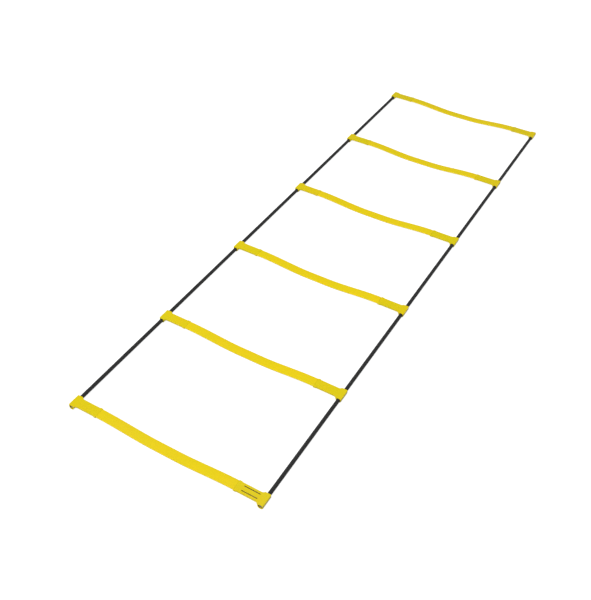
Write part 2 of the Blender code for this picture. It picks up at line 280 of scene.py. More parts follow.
class LadderStage(bpy.types.PropertyGroup):
    """The camera and the light."""

    aim: place_setting("Aim", "Point on the floor at the picture's middle", (-0.00847, -0.26600, 0))
    azimuth: angle_setting("Azimuth", "Of the line of sight, from +Y towards -X", radians(29.885))
    elevation: angle_setting("Elevation", "Of the camera above the floor", radians(42.426))
    roll: angle_setting("Roll", "Of the camera about its line of sight", radians(1.21))
    distance: length_setting("Distance", "From the camera to its aim", 2.1509)
    lens: FloatProperty(name="Lens", description="Focal length", default=50.11, unit="CAMERA")
    sky: FloatProperty(name="Sky", description="Strength of the even light", default=0.38)
    softbox_power: FloatProperty(name="Softbox Power", description="In watts", default=57, unit="POWER")
    softbox_place: place_setting("Softbox Place", "Over the near half, to the left", (-0.25, -0.6, 2.6))
    softbox_size: FloatVectorProperty(
        name="Softbox Size", description="Width and length", default=(2.4, 3.0), size=2, unit="LENGTH"
    )
    front_power: FloatProperty(name="Front Power", description="In watts a square metre", default=1.6)
    front_way: FloatVectorProperty(
        name="Front Way",
        description="Towards the light at the viewer's side",
        default=(-0.35, -1.0, 0.45),
        subtype="DIRECTION",
    )
    front_spread: angle_setting("Front Spread", "Of that light, seen from the ladder", radians(60))
    glow: FloatProperty(name="Glow", description="Light of the lit floor itself", default=0.9)


class LadderSettings(bpy.types.PropertyGroup):
    """All that a user would change on the ladder."""

    slat: PointerProperty(type=LadderSlat)
    end_piece: PointerProperty(type=LadderEndPiece)
    cord: PointerProperty(type=LadderCord)
    stop: PointerProperty(type=LadderStop)
    finish: PointerProperty(type=LadderFinish)
    stage: PointerProperty(type=LadderStage)


def settings():
    return bpy.context.scene.ladder


# Working with one piece at a time


def select_only(piece=None):
    """Leaves one piece, or none, selected and active in object mode."""
    if bpy.context.mode != "OBJECT":
        bpy.ops.object.mode_set(mode="OBJECT")
    bpy.ops.object.select_all(action="DESELECT")
    bpy.context.view_layer.objects.active = piece
    if piece:
        piece.select_set(True)


def named(name):
    """Names the primitive that was just added, with its place and turn in its mesh."""
    piece = bpy.context.active_object
    piece.name = piece.data.name = name
    bpy.ops.object.transform_apply(location=True, rotation=True, scale=True)
    return piece


def edit(piece):
    select_only(piece)
    bpy.ops.object.mode_set(mode="EDIT")
    bpy.ops.mesh.select_all(action="DESELECT")


def middle(item):
    """The middle of an edge or a face."""
    return sum((vertex.co for vertex in item.verts), Vector()) / len(item.verts)


def pick(kind, test):
    """In edit mode, selects the edges or the faces that pass the test. Returns their middle."""
    mesh = bpy.context.edit_object.data
    bpy.ops.mesh.select_mode(type=kind)
    bpy.ops.mesh.select_all(action="DESELECT")
    builder = bmesh.from_edit_mesh(mesh)
    items = {"EDGE": builder.edges, "FACE": builder.faces}[kind]
    found = [item for item in items if test(item)]
    if not found:
        raise RuntimeError(f"{mesh.name}: nothing there to pick")
    for item in found:
        item.select_set(True)
    builder.select_flush_mode()
    bmesh.update_edit_mesh(mesh)
    return sum((middle(item) for item in found), Vector()) / len(found)


def faces_at(axis, place):
    """A test for faces that lie in a plane across an axis."""
    index = "XYZ".index(axis)
    return lambda face: all(abs(vertex.co[index] - place) < MERGE_LIMIT for vertex in face.verts)


def push(vector):
    """Extrudes the selected faces by a vector."""
    bpy.ops.mesh.extrude_region_move(TRANSFORM_OT_translate={"value": vector})


def draw_in(ratios, about):
    """Scales the selection about a point."""
    bpy.ops.transform.resize(value=ratios, center_override=about)


def merge_all():
    """Selects the whole mesh and merges the points that coincide."""
    bpy.ops.mesh.select_all(action="SELECT")
    bpy.ops.mesh.remove_doubles(threshold=MERGE_LIMIT)


def closed(piece):
    """Merges what coincides, turns the faces outwards and goes back to object mode."""
    bpy.ops.mesh.select_mode(type="VERT")
    merge_all()
    bpy.ops.mesh.normals_make_consistent(inside=False)
    bpy.ops.object.mode_set(mode="OBJECT")
    return piece


def modify(piece, kind, **values):
    """Gives a piece a modifier with these values and applies it."""
    select_only(piece)
    modifier = piece.modifiers.new(kind.lower(), kind)
    for name, value in values.items():
        setattr(modifier, name, value)
    bpy.ops.object.modifier_apply(modifier=modifier.name)


def carve(piece, tool, operation="DIFFERENCE"):
    """Cuts a piece with another, or keeps what they share, and removes the tool."""
    modify(piece, "BOOLEAN", operation=operation, solver="EXACT", object=tool)
    discard(tool)


def round_edges(piece, radius):
    """Rounds the edges that turn by more than the steps of the arcs do."""
    limits = {"limit_method": "ANGLE", "angle_limit": ROUND_ABOVE, "use_clamp_overlap": False}
    modify(piece, "BEVEL", width=radius, segments=ROUND_EDGE_STEPS, **limits)


def smooth(piece, finish):
    """Shades round stretches smooth, keeps flats flat, and gives the piece its finish."""
    select_only(piece)
    bpy.ops.object.shade_smooth_by_angle(angle=SMOOTH_ANGLE)
    modify(piece, "WEIGHTED_NORMAL", keep_sharp=True)
    piece.data.materials.clear()
    piece.data.materials.append(finish)
    return piece


def block(name, at, size):
    """A box about a place."""
    select_only()
    bpy.ops.mesh.primitive_cube_add(size=1, location=at)
    bpy.context.active_object.scale = size
    return named(name)


def placed_copy(model, name, at, turn=0):
    """A copy with its own mesh, turned about Z and moved, with its place in its mesh."""
    select_only(model)
    bpy.ops.object.duplicate(linked=False)
    copy = bpy.context.active_object
    copy.location = at
    copy.rotation_euler = (0, 0, turn)
    return named(name)


def discard(model):
    bpy.data.objects.remove(model, do_unlink=True)


# Drawing outlines with a pen: one vertex, moved on by extruding and spinning it


def start_pen(name, place):
    """Puts down a single vertex in edit mode."""
    select_only()
    bpy.ops.mesh.primitive_plane_add(size=HEAD_RADIUS, location=place)
    piece = named(name)
    edit(piece)
    bpy.ops.mesh.select_all(action="SELECT")
    bpy.ops.mesh.merge(type="CENTER")
    return piece


def line_by(vector):
    bpy.ops.mesh.extrude_vertices_move(TRANSFORM_OT_translate={"value": vector})


def line_through(points):
    """Draws on from the first point, where the pen is, through all the others."""
    for before, point in zip(points, points[1:]):
        line_by(Vector(point) - Vector(before))


def round_corner(x, y):
    """Draws a quarter circle about a place, anticlockwise. A spin by a positive angle is clockwise."""
    bpy.ops.mesh.spin(steps=ROUND_EDGE_STEPS, angle=-pi / 2, center=(x, y, 0), axis=(0, 0, 1))


def pushed_outline(piece, vector):
    """Closes the pen's outline with a face and pushes it to a solid."""
    merge_all()
    bpy.ops.mesh.edge_face_add()
    push(vector)
    return closed(piece)


# Finishes


def feed(socket, value):
    """Links an output to a socket, or gives the socket a value of its own."""
    if isinstance(value, bpy.types.NodeSocket):
        socket.id_data.links.new(value, socket)
    else:
        socket.default_value = value


def feed_inputs(target, **inputs):
    """Feeds a node's inputs by name, with an underscore for each space."""
    for name, value in inputs.items():
        feed(target.inputs[name.replace("_", " ")], value)


def node(tree, kind, **inputs):
    made = tree.nodes.new(kind)
    feed_inputs(made, **inputs)
    return made


def maths(tree, operation, *values):
    made = tree.nodes.new("ShaderNodeMath")
    made.operation = operation
    for socket, value in zip(made.inputs, values):
        feed(socket, value)
    return made.outputs[0]


def noise(tree, place, pattern):
    """A noise pattern, laid out from a place."""
    waves, detail, stretch = PATTERNS[pattern]
    mapping = node(tree, "ShaderNodeMapping", Vector=place, Scale=stretch)
    made = node(tree, "ShaderNodeTexNoise", Vector=mapping.outputs[0], Scale=waves, Detail=detail)
    return made.outputs[0]


def spread(tree, value, low, high, least=0, most=1):
    """Maps a value between low and high to least and most, and holds it there."""
    made = node(
        tree, "ShaderNodeMapRange", Value=value, From_Min=low, From_Max=high, To_Min=least, To_Max=most
    )
    return made.outputs[0]


def shown(tree, value, mark):
    """How strongly a mark shows, by the value that it comes from."""
    start, full, most = MARKS[mark]
    return spread(tree, value, start, full, most=most)


def marks(tree, place, pattern):
    """How strongly the marks of a noise pattern show, laid out from a place."""
    return shown(tree, noise(tree, place, pattern), pattern)


def blend(tree, share, first, second, kind="RGBA"):
    """A colour between two others, or a number."""
    made = tree.nodes.new("ShaderNodeMix")
    made.data_type = kind
    *inputs, output = MIX_SOCKETS[kind]
    for index, value in zip(inputs, (share, first, second)):
        feed(made.inputs[index], value)
    return made.outputs[output]


def bump(tree, height, distance, below=None):
    made = node(tree, "ShaderNodeBump", Height=height, Distance=distance, Strength=1)
    if below:
        feed_inputs(made, Normal=below)
    return made.outputs[0]


def start_finish(name):
    """A new material, its nodes, its shader and the place that patterns are laid out from."""
    material = bpy.data.materials.new(name)
    material.use_nodes = True
    tree = material.node_tree
    place = tree.nodes.new("ShaderNodeTexCoord").outputs["Object"]
    return material, tree, tree.nodes["Principled BSDF"], place


def tinted(colour, tint):
    return (*[channel * share for channel, share in zip(colour, TINT_SHARES[tint])], 1)


def satin_plastic(name, colour, roughness):
    """Moulded satin plastic: pigment drift, grain, flow and rub marks, rubbed edges, painted shade in
    recesses.
    """
    material, tree, shader, place = start_finish(name)
    drift = marks(tree, place, "pigment_drift")
    pigment = blend(tree, drift, tinted(colour, "lemon_pigment"), tinted(colour, "gold_pigment"))
    flowed = blend(tree, marks(tree, place, "flow_marks"), pigment, tinted(colour, "flow"))
    rub = maths(tree, "MULTIPLY", marks(tree, place, "rub_streaks"), marks(tree, place, "rub_patches"))
    rubbed = blend(tree, rub, flowed, tinted(colour, "rubbed"))
    edge = worn_edge(tree, place)
    worn = blend(tree, edge, rubbed, tinted(colour, "worn"))
    # Ambient occlusion paints shade into narrow recesses, such as the strap slots
    recess = node(tree, "ShaderNodeAmbientOcclusion", Distance=RECESS_REACH)
    painted_recess_shade = shown(tree, recess.outputs["AO"], "painted_recess_shade")
    sheen = spread(tree, noise(tree, place, "sheen_patches"), *NOISE_RANGE, *roughness)
    grain = bump(tree, noise(tree, place, "grain"), GRAIN_HEIGHT)
    feed_inputs(
        shader,
        Base_Color=blend(tree, painted_recess_shade, worn, tinted(colour, "painted_shade")),
        Roughness=maths(tree, "ADD", sheen, maths(tree, "MULTIPLY", edge, WORN_ROUGHNESS)),
        Normal=bump(tree, noise(tree, place, "mould_waves"), MOULD_WAVE_HEIGHT, grain),
        IOR=1.49,
        Specular_IOR_Level=0.16,
    )
    return material


def worn_edge(tree, place):
    """How worn the plastic is: scuffed where a rounded normal turns away from the surface's own."""
    rounded = node(tree, "ShaderNodeBevel", Radius=WEAR_REACH)
    facing = tree.nodes.new("ShaderNodeVectorMath")
    facing.operation = "DOT_PRODUCT"
    feed(facing.inputs[0], rounded.outputs[0])
    feed(facing.inputs[1], tree.nodes.new("ShaderNodeNewGeometry").outputs["Normal"])
    edge = shown(tree, facing.outputs["Value"], "worn_edge")
    return maths(tree, "MULTIPLY", edge, marks(tree, place, "edge_scuffs"))


def braided_yarn(name, colour, strands):
    """Braided polyester: each strand's own shade, painted groove shade and crest highlight, and UV
    filaments.
    """
    material, tree, shader, place = start_finish(name)
    uv = node(tree, "ShaderNodeSeparateXYZ", Vector=tree.nodes.new("ShaderNodeUVMap").outputs[0])
    around = maths(tree, "MULTIPLY", uv.outputs[0], strands)
    along = maths(tree, "MULTIPLY", uv.outputs[1], strands)
    first = maths(tree, "SUBTRACT", around, along)
    second = maths(tree, "ADD", around, along)
    crossing = maths(tree, "ADD", maths(tree, "FLOOR", first), maths(tree, "FLOOR", second))
    repeat = maths(tree, "FRACT", maths(tree, "DIVIDE", crossing, WEAVE_REPEAT))
    over = maths(tree, "LESS_THAN", repeat, 0.5)
    across = blend(tree, over, second, first, "FLOAT")
    # Painted shade in the grooves between strands, and painted highlight on their crests
    painted_strand_light = maths(tree, "SINE", maths(tree, "MULTIPLY", maths(tree, "FRACT", across), pi))
    pair = node(tree, "ShaderNodeCombineXYZ", X=maths(tree, "FLOOR", across), Y=over)
    strand = node(tree, "ShaderNodeTexWhiteNoise", Vector=pair.outputs[0])
    strand.noise_dimensions = "2D"
    shade = blend(tree, painted_strand_light, tinted(colour, "painted_groove_shade"), tinted(colour, "painted_crest_highlight"))
    pale = shown(tree, strand.outputs[0], "pale_strand")
    shade = blend(tree, pale, shade, tinted(colour, "pale_strand"))
    fuzz = noise(tree, place, "yarn_fuzz")
    filaments = maths(tree, "SINE", maths(tree, "MULTIPLY", across, 2 * pi * FILAMENT_BUNDLES))
    feed_inputs(
        shader,
        Base_Color=blend(tree, shown(tree, fuzz, "lint"), shade, tinted(colour, "lint")),
        Roughness=spread(tree, fuzz, *NOISE_RANGE, *YARN_ROUGHNESS),
        Normal=bump(tree, fuzz, FUZZ_HEIGHT, bump(tree, filaments, FILAMENT_HEIGHT)),
        Sheen_Weight=0.06,
        Sheen_Roughness=0.5,
        Specular_IOR_Level=0.3,
    )
    return material


def zinc_plated_steel(name, colour):
    """Crimped sheet steel under zinc: fine lines round it, and faint clouds."""
    material, tree, shader, place = start_finish(name)
    clouds = marks(tree, place, "zinc_clouds")
    lines = noise(tree, place, "turned_lines")
    feed_inputs(
        shader,
        Base_Color=blend(tree, clouds, tinted(colour, "dull_zinc"), tinted(colour, "bright_zinc")),
        Roughness=spread(tree, lines, *NOISE_RANGE, *ZINC_ROUGHNESS),
        Normal=bump(tree, lines, TURNED_LINE_HEIGHT),
        Metallic=1,
    )
    return material


def studio_floor(name, colour, glow):
    """A matt pale floor, lit from within, with the faintest mottle."""
    material, tree, shader, place = start_finish(name)
    mottle = marks(tree, place, "floor_mottle")
    feed_inputs(
        shader,
        Base_Color=blend(tree, mottle, tinted(colour, "mottled_floor"), tinted(colour, "plain_floor")),
        Roughness=0.9,
        Specular_IOR_Level=0.1,
        Emission_Color=WHITE,
        Emission_Strength=glow,
    )
    return material


# Slats


def neck_lines():
    """Heights of the neck over the cord's axis: its bottom, its middle and its top."""
    sizes = settings().end_piece
    top = STOP_RADIUS + SEAT_GAP + sizes.crown_wall
    bottom = top - pocket_height() - 2 * sizes.neck_face_wall
    return bottom, (top + bottom) / 2, top


def tongue_width():
    return SLAT_WIDTH - 2 * settings().slat.tongue_side_step


def tongue_thickness():
    slat = settings().slat
    return slat.thickness - 2 * slat.tongue_face_step


def pocket_height():
    return tongue_thickness() + 2 * SEAT_GAP


def slat_end():
    """Where the bar ends, pressed up to the collar, and its tongue starts."""
    return CORD_X["right"] - NECK_REACH - PARTING_LINE


def slat_height_at(x):
    """The bar's middle plane: level at its ends and its middle, with a smooth fall between."""
    slat = settings().slat
    level = neck_lines()[1] + slat.bar_lift
    drop = CORD_HEIGHT + level - slat.thickness / 2
    share_down = (slat_end() - abs(x)) / (slat_end() - slat.land / 2)
    return level - drop * (1 - cos(pi * min(max(share_down, 0), 1))) / 2


def model_slat():
    """A bar pushed along its bow from end to end, with a tongue at each end."""
    slat = settings().slat
    end = slat_end()
    start = (-end, 0, slat_height_at(-end))
    select_only()
    bpy.ops.mesh.primitive_plane_add(size=1, location=start, rotation=(0, pi / 2, 0))
    bpy.context.active_object.scale = (slat.thickness, SLAT_WIDTH, 1)
    piece = named("slat_model")
    edit(piece)
    bpy.ops.mesh.select_all(action="SELECT")
    bpy.ops.mesh.bevel(offset=slat.edge_round, segments=EDGE_SEGMENTS, affect="VERTICES")
    pick("EDGE", lambda edge: edge.calc_length() > SLAT_WIDTH / 2)
    bpy.ops.mesh.subdivide(number_cuts=SLAT_CROWN_CUTS)
    crown_section(start[2])
    pick("FACE", lambda face: True)
    step = 2 * end / SLAT_STEPS
    for index in range(SLAT_STEPS):
        x = -end + step * index
        push((step, 0, slat_height_at(x + step) - slat_height_at(x)))
    for side in (-1, 1):
        add_tongue(side)
    return closed(piece)


def crown_section(level):
    """Lowers both faces of the section towards the long edges, so that light rolls over them."""
    slat = settings().slat
    half = SLAT_WIDTH / 2 - slat.edge_round
    builder = bmesh.from_edit_mesh(bpy.context.edit_object.data)
    for vertex in builder.verts:
        share_out = min(abs(vertex.co.y) / half, 1)
        share_up = (vertex.co.z - level) / (slat.thickness / 2)
        vertex.co.z -= share_up * slat.crown * share_out**2
    bmesh.update_edit_mesh(bpy.context.edit_object.data)


def add_tongue(side):
    """Steps the bar's end in all round and pushes the tongue out of it."""
    slat = settings().slat
    end = side * slat_end()
    about = pick("FACE", faces_at("X", end))
    push((0, 0, -slat.bar_lift))
    about.z -= slat.bar_lift
    draw_in((1, tongue_width() / SLAT_WIDTH, tongue_thickness() / slat.thickness), about)
    tongue = TONGUE_END - slat_end()
    push((side * (tongue - slat.tongue_tip), 0, 0))
    push((side * slat.tongue_tip, 0, 0))
    draw_in((1, 1 - 2 * slat.tongue_tip_inset / tongue_width(), 1), about)


# End pieces


def neck_width():
    sizes = settings().end_piece
    return tongue_width() + 2 * SEAT_GAP + 2 * sizes.neck_side_wall


def neck_fillet():
    """Place and turn of the round between the head and the neck's underside, seen along the cord."""
    radius = settings().end_piece.neck_fillet
    height = neck_lines()[0] - radius
    x = sqrt((HEAD_RADIUS + radius) ** 2 - height**2)
    return x, height, atan2(height, x)


def even_steps(first, last, steps):
    """Numbers from the first to the last, both included, an even step apart."""
    return [first + (last - first) * step / steps for step in range(steps + 1)]


def outer_stations():
    """Places along X of the points that both views share where the head's outer side is round."""
    sizes = settings().end_piece
    crown_turn = acos(1 - sizes.crown_round / HEAD_RADIUS)
    corner_turn = acos(1 - sizes.corner_round / HEAD_RADIUS)
    turns = even_steps(0, crown_turn, CROWN_STEPS) + even_steps(crown_turn, corner_turn, CORNER_STEPS)[1:]
    return [-HEAD_RADIUS * cos(turn) for turn in turns]


def inner_stations():
    """Places along X of the fillet's points, where the head runs into the neck."""
    x, _, turn = neck_fillet()
    radius = settings().end_piece.neck_fillet
    return [x - radius * cos(rise) for rise in even_steps(-turn, pi / 2, 2 * FILLET_STEPS)]


def beside(centre, radius, place):
    """How far a circle's edge lies from its middle line at a place along X."""
    return sqrt(max(radius**2 - (place - centre) ** 2, 0))


def plan_solid():
    """The end piece seen from above, pushed upright: head, ears, flares, neck and collar."""
    sizes = settings().end_piece
    reach = NECK_REACH + OVERRUN
    half_head = HEAD_LENGTH / 2
    half_neck = neck_width() / 2
    collar_start = NECK_REACH - sizes.collar_length
    corner_x = sizes.corner_round - HEAD_RADIUS
    corner_y = half_head - sizes.corner_round
    flare_y = half_neck + sizes.flare_radius
    flare = inner_stations()[FILLET_STEPS::FILLET_STEPS]
    flare_x = flare[0] + beside(0, sizes.flare_radius, sizes.flare_radius - sizes.ear)
    flare += even_steps(flare[-1], flare_x, FLARE_STEPS)[1:]
    points = [(-HEAD_RADIUS, 0, -reach)]
    points += [(x, corner_y + beside(corner_x, sizes.corner_round, x), -reach) for x in outer_stations()]
    points += [(x, flare_y - beside(flare_x, sizes.flare_radius, x), -reach) for x in flare]
    points += [
        (collar_start - sizes.collar_slope, half_neck, -reach),
        (collar_start, half_neck + sizes.collar_proud, -reach),
        (NECK_REACH, half_neck + sizes.collar_proud, -reach),
        (NECK_REACH, 0, -reach),
    ]
    piece = start_pen("plan", points[0])
    line_through(points)
    bpy.ops.mesh.select_all(action="SELECT")
    bpy.ops.mesh.symmetrize(direction="POSITIVE_Y", threshold=MERGE_LIMIT)
    return pushed_outline(piece, (0, 0, 2 * reach))


def side_solid():
    """The end piece seen along the cord, pushed across: round head, flat crown and neck."""
    sizes = settings().end_piece
    reach = NECK_REACH + OVERRUN
    bottom, _, top = neck_lines()
    fillet_x, fillet_height, fillet_turn = neck_fillet()
    crown_x = sizes.crown_round - HEAD_RADIUS
    crown_height = top - sizes.crown_round
    outer = outer_stations()
    crown = outer[: CROWN_STEPS + 1]
    points = [(x, -reach, crown_height + beside(crown_x, sizes.crown_round, x)) for x in crown]
    points += [(NECK_REACH, -reach, top), (NECK_REACH, -reach, bottom)]
    fillet = reversed(inner_stations())
    points += [(x, -reach, fillet_height + beside(fillet_x, sizes.neck_fillet, x)) for x in fillet]
    turns = even_steps(-fillet_turn, acos(outer[-1] / HEAD_RADIUS), HEAD_ARC_STEPS)[1:-1]
    points += [(HEAD_RADIUS * cos(turn), -reach, -HEAD_RADIUS * sin(turn)) for turn in turns]
    points += [(x, -reach, -beside(0, HEAD_RADIUS, x)) for x in reversed(outer)]
    piece = start_pen("side", points[0])
    line_through(points)
    return pushed_outline(piece, (0, 2 * reach, 0))


def tunnel_tool(stop_side):
    """The cord's tunnel with round lips at its mouths, and a wider bore where a stop sits."""
    sizes = settings().end_piece
    radius = settings().cord.diameter / 2 + sizes.running_clearance
    length = HEAD_LENGTH - 2 * sizes.mouth_lip
    select_only()
    bpy.ops.mesh.primitive_cylinder_add(
        vertices=ROUND_SIDES, radius=radius, depth=length, rotation=(pi / 2, 0, 0)
    )
    piece = named("tunnel")
    edit(piece)
    for side in (-1, 1):
        about = pick("FACE", faces_at("Y", side * length / 2))
        if side == stop_side:
            widen_for_stop(side, radius, about)
        else:
            flare_end(side, radius, about)
    return closed(piece)


def flare_end(side, radius, about):
    """Opens the tool's end face in steps round a quarter circle, then runs it out of the head."""
    lip = settings().end_piece.mouth_lip
    wide = radius
    for step in range(ROUND_LIP_STEPS):
        turn = pi / 2 * (step + 1) / ROUND_LIP_STEPS
        before = pi / 2 * step / ROUND_LIP_STEPS
        push((0, side * lip * (sin(turn) - sin(before)), 0))
        wider = radius + lip * (1 - cos(turn))
        draw_in((wider / wide, 1, wider / wide), about)
        wide = wider
    push((0, side * OVERRUN, 0))


def widen_for_stop(side, radius, about):
    """Draws the tool's end back to the stop's step, then out of the head at the bore's radius."""
    sizes = settings().end_piece
    half = HEAD_LENGTH / 2
    bore = STOP_RADIUS + SEAT_GAP
    step = half - (MOUTH - STOP_FACE) - STOP_LENGTH - SEAT_GAP
    bpy.ops.transform.translate(value=(0, side * (step - half + sizes.mouth_lip), 0))
    push((0, 0, 0))
    draw_in((bore / radius, 1, bore / radius), about)
    push((0, side * (half - step - sizes.mouth_lip), 0))
    flare_step = sizes.mouth_lip / 2
    push((0, side * sizes.mouth_lip, 0))
    draw_in((1 + flare_step / bore, 1, 1 + flare_step / bore), about)
    push((0, side * OVERRUN, 0))


def pocket_tool():
    """The pocket for the tongue, open at the collar."""
    depth = TONGUE_END - slat_end() + SEAT_GAP
    length = depth + OVERRUN
    width = tongue_width() + 2 * SEAT_GAP
    at = (NECK_REACH - depth + length / 2, 0, neck_lines()[1])
    return block("pocket", at, (length, width, pocket_height()))


def slot_tool(across):
    """One long slot with round ends and bevelled lips, above and below."""
    sizes = settings().end_piece
    bottom, _, top = neck_lines()
    lip = sizes.slot_lip
    height = top - bottom - 2 * lip
    at = (sizes.slot_start + sizes.slot_length / 2, across, (top + bottom) / 2)
    piece = block("strap_slot", at, (sizes.slot_length, sizes.slot_width, height))
    edit(piece)
    pick("EDGE", lambda edge: abs(edge.verts[0].co.z - edge.verts[1].co.z) > height / 2)
    round_share = 0.98
    bpy.ops.mesh.bevel(offset=sizes.slot_width / 2 * round_share, segments=SMALL_ARC_STEPS, affect="EDGES")
    wider = 1 + 2 * lip / sizes.slot_width
    longer = 1 + 2 * lip / sizes.slot_length
    for side in (-1, 1):
        about = pick("FACE", faces_at("Z", at[2] + side * height / 2))
        push((0, 0, side * lip))
        draw_in((longer, wider, 1), about)
        push((0, 0, side * OVERRUN))
    return closed(piece)


def slot_places():
    """How far the two slots lie to each side of the neck's middle line."""
    sizes = settings().end_piece
    across = tongue_width() / 2 - sizes.slot_rim - sizes.slot_width / 2
    return (-across, across)


def model_end_piece(name, stop_side=0, slotted=False):
    """A moulded end piece: two views pushed to solids, what they share rounded, then the cuts."""
    sizes = settings().end_piece
    piece = plan_solid()
    carve(piece, side_solid(), "INTERSECT")
    edit(piece)
    closed(piece)
    round_edges(piece, sizes.edge_round)
    carve(piece, tunnel_tool(stop_side))
    carve(piece, pocket_tool())
    if slotted:
        for across in slot_places():
            carve(piece, slot_tool(across))
    piece.name = name
    return piece


# Cord stops


def model_stop():
    """A cup turned from its profile, with crimp grooves rolled into its side."""
    sizes = settings().stop
    bore = STOP_RADIUS - sizes.wall
    eye = sizes.eye / 2
    edge = sizes.edge_round
    groove_pitch = (STOP_LENGTH - sizes.end_wall) / (sizes.crimps + 1)
    half_groove = groove_pitch / 4
    groove_slope = half_groove / 2
    piece = start_pen("stop_model", (bore, -STOP_LENGTH, 0))
    line_by((sizes.wall - edge, 0, 0))
    round_corner(STOP_RADIUS - edge, edge - STOP_LENGTH)
    y = edge - STOP_LENGTH
    for index in range(sizes.crimps):
        groove = -STOP_LENGTH + groove_pitch * (index + 1)
        line_by((0, groove - half_groove - y, 0))
        line_by((-sizes.crimp_depth, groove_slope, 0))
        line_by((0, 2 * (half_groove - groove_slope), 0))
        line_by((sizes.crimp_depth, groove_slope, 0))
        y = groove + half_groove
    line_by((0, -edge - y, 0))
    round_corner(STOP_RADIUS - edge, -edge)
    line_by((eye + 2 * edge - STOP_RADIUS, 0, 0))
    round_corner(eye + edge, -edge)
    line_by((0, edge - sizes.end_wall, 0))
    line_by((bore - eye, 0, 0))
    line_by((0, sizes.end_wall - STOP_LENGTH, 0))
    merge_all()
    bpy.ops.mesh.spin(steps=ROUND_SIDES // 2, angle=2 * pi, center=(0, 0, 0), axis=(0, 1, 0))
    return closed(piece)


# Braided cords


def braid_swell(first, second):
    """Height over the braid's core at strand coordinates, where one family passes over the other.

    A whole number is the edge between two strands. Each strand goes over two and under two.
    """
    sizes = settings().cord
    crest = WEAVE_REPEAT / 4
    families = ((first, second, crest), (second, first, 3 * crest))
    heights = []
    for own, other, centre in families:
        share = own - np.floor(own)
        round_top = np.sqrt(np.clip(1 - (2 * share - 1) ** 2, 0, 1))
        wave = np.cos(2 * pi * (other + np.floor(own) - centre) / WEAVE_REPEAT)
        heights.append(sizes.weave_rise * wave + sizes.strand_swell * round_top)
    return np.maximum(*heights)


def braided_tube(name, x):
    """A tube from cord end to cord end, with its faces laid along the strands of the braid."""
    sizes = settings().cord
    columns = sizes.strands * CORD_STEPS_PER_STRAND
    rows = round(2 * CORD_END / sizes.lead * 2 * columns)
    step = 2 * CORD_END / rows
    lead = step * 2 * columns
    row, column = np.divmod(np.arange((rows + 1) * columns), columns)
    share_round = (column + (row % 2) / 2) / columns
    y = row * step - CORD_END
    along = row * step / lead
    first = sizes.strands * (share_round - along)
    second = sizes.strands * (share_round + along)
    core = sizes.diameter / 2 + sizes.weave_rise / 2 - sizes.strand_swell
    melted_length = sizes.diameter * MELTED_LENGTH_SHARE
    end_share = np.clip(np.minimum(y + CORD_END, CORD_END - y) / melted_length, 0, 1)
    full_share = np.sqrt(np.clip(1 - (1 - end_share) ** 2, 0, 1))
    melted = MELTED_RADIUS_SHARE + (1 - MELTED_RADIUS_SHARE) * full_share
    radius = (core + braid_swell(first, second)) * melted
    turn = 2 * pi * share_round
    points = np.stack([x + radius * np.cos(turn), y, CORD_HEIGHT + radius * np.sin(turn)], 1)
    faces, shares = braid_faces(rows, columns)
    caps = [list(range(columns)), list(range(rows * columns, (rows + 1) * columns))[::-1]]
    mesh = bpy.data.meshes.new(name)
    mesh.from_pydata(points.tolist(), [], faces + caps)
    layer = mesh.uv_layers.new(name="braid")
    cap_shares = [(0.5, 0)] * columns + [(0.5, 2 * CORD_END / lead)] * columns
    flat = np.array(shares + cap_shares, dtype=np.float32)
    flat[: len(shares), 1] *= step / lead
    layer.data.foreach_set("uv", flat.ravel())
    mesh.shade_smooth()
    piece = bpy.data.objects.new(name, mesh)
    bpy.context.scene.collection.objects.link(piece)
    return piece


def braid_faces(rows, columns):
    """Diamonds over the staggered rows, triangles at the two ends, and their places on the UV map."""
    faces = []
    shares = []
    for row in range(rows + 1):
        shift = row % 2
        for column in range(columns):
            base = (column + shift / 2) / columns
            half = 0.5 / columns
            bottom = row * columns + column
            if row + 2 <= rows:
                left = (row + 1) * columns + (column - 1 + shift) % columns
                right = (row + 1) * columns + (column + shift) % columns
                top = (row + 2) * columns + column
                faces.append((bottom, left, top, right))
                shares += [(base, row), (base - half, row + 1), (base, row + 2), (base + half, row + 1)]
            if row in (0, rows):
                after = row * columns + (column + 1) % columns
                inner = 1 if row == 0 else rows - 1
                tip = inner * columns + (column + shift) % columns
                corners = [(bottom, base), (tip, base + half), (after, base + 2 * half)]
                if row:
                    corners.reverse()
                faces.append([corner for corner, _ in corners])
                shares += [(share, inner if corner == tip else row) for corner, share in corners]
    return faces, shares


# Operators


class LADDER_OT_side_cords(bpy.types.Operator):
    """Braid the two side cords and lay them through the heads"""

    bl_idname = "ladder.side_cords"
    bl_label = "Side Cords"

    def execute(self, context):
        sizes = settings().cord
        finish = braided_yarn("braided_charcoal_yarn", settings().finish.cord_colour, sizes.strands)
        for side, x in CORD_X.items():
            piece = braided_tube(f"braided_cord_{side}", x)
            piece.data.materials.append(finish)
            dress(piece, f"{side}_cord", "root")
        return {"FINISHED"}


def rung_body(number):
    """The body that a rung's pieces move with: the end rungs are held by the cord stops."""
    return "root" if number in (1, RUNG_COUNT) else f"rung_{number}"


def rung_place(number):
    low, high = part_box(f"rung_{number}_slat")
    return (low.y + high.y) / 2


def dress(piece, node_name, body):
    """Lets a piece ride on its body in place of its CAD node, which gets the same finish."""
    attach(piece, body)
    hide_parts(node_name)
    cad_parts[node_name].material_slots[0].material = piece.active_material


